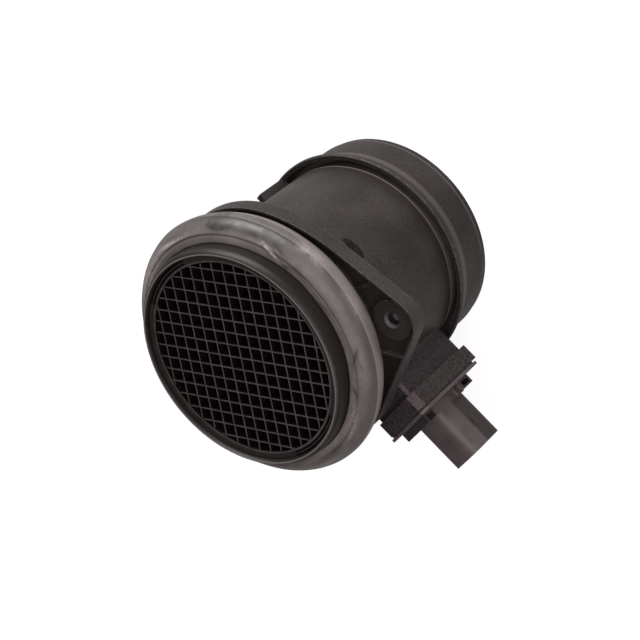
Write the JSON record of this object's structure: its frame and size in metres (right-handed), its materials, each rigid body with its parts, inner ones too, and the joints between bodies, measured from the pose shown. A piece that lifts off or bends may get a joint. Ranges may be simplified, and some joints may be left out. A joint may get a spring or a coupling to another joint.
{
  "type": "mass airflow sensor",
  "caption": "Plug-in hot-film mass airflow sensor in a round moulded duct with a flow grid, a rubber inlet seal, a two-hole flange and a side connector.",
  "frame": {"origin": "centre of the outlet spigot's end face, on the duct's axis", "axes": "+Z along the duct against the flow, from the outlet to the inlet grid; -X towards the electrical connector; +X towards the locating tab; +Y completes the right-handed frame"},
  "size_m": [0.1415, 0.1122, 0.1107],
  "materials": {
    "housing_plastic": "matt with worn edges",
    "module_plastic": "matt",
    "grid_plastic": "dusty on the front edges",
    "seal_rubber": "aged and smudged",
    "ring_rubber": "smooth",
    "base_metal": "rolled",
    "board_ceramic": "matt",
    "chip_plastic": "matt",
    "element_glass": "polished",
    "pin_metal": "tinned",
    "lead_metal": "drawn wire",
    "bead_glass": "glassy"
  },
  "bodies": {
    "root": {"housing": "housing_plastic", "inlet_grid": "grid_plastic", "inlet_seal": "seal_rubber", "sensor_carrier": "module_plastic", "electronics_cover": "module_plastic", "channel_cover": "module_plastic", "module_seal_ring": "ring_rubber", "base_plate": "base_metal", "circuit_board": "board_ceramic", "evaluation_chip": "chip_plastic", "capacitor_1": "chip_plastic", "capacitor_2": "chip_plastic", "capacitor_3": "chip_plastic", "element_tongue": "chip_plastic", "sensor_element": "element_glass", "thermistor_bead": "bead_glass", "thermistor_lead_1": "lead_metal", "thermistor_lead_2": "lead_metal", "terminal_pin_1": "pin_metal", "terminal_pin_2": "pin_metal", "terminal_pin_3": "pin_metal", "terminal_pin_4": "pin_metal"}
  },
  "joints": []
}
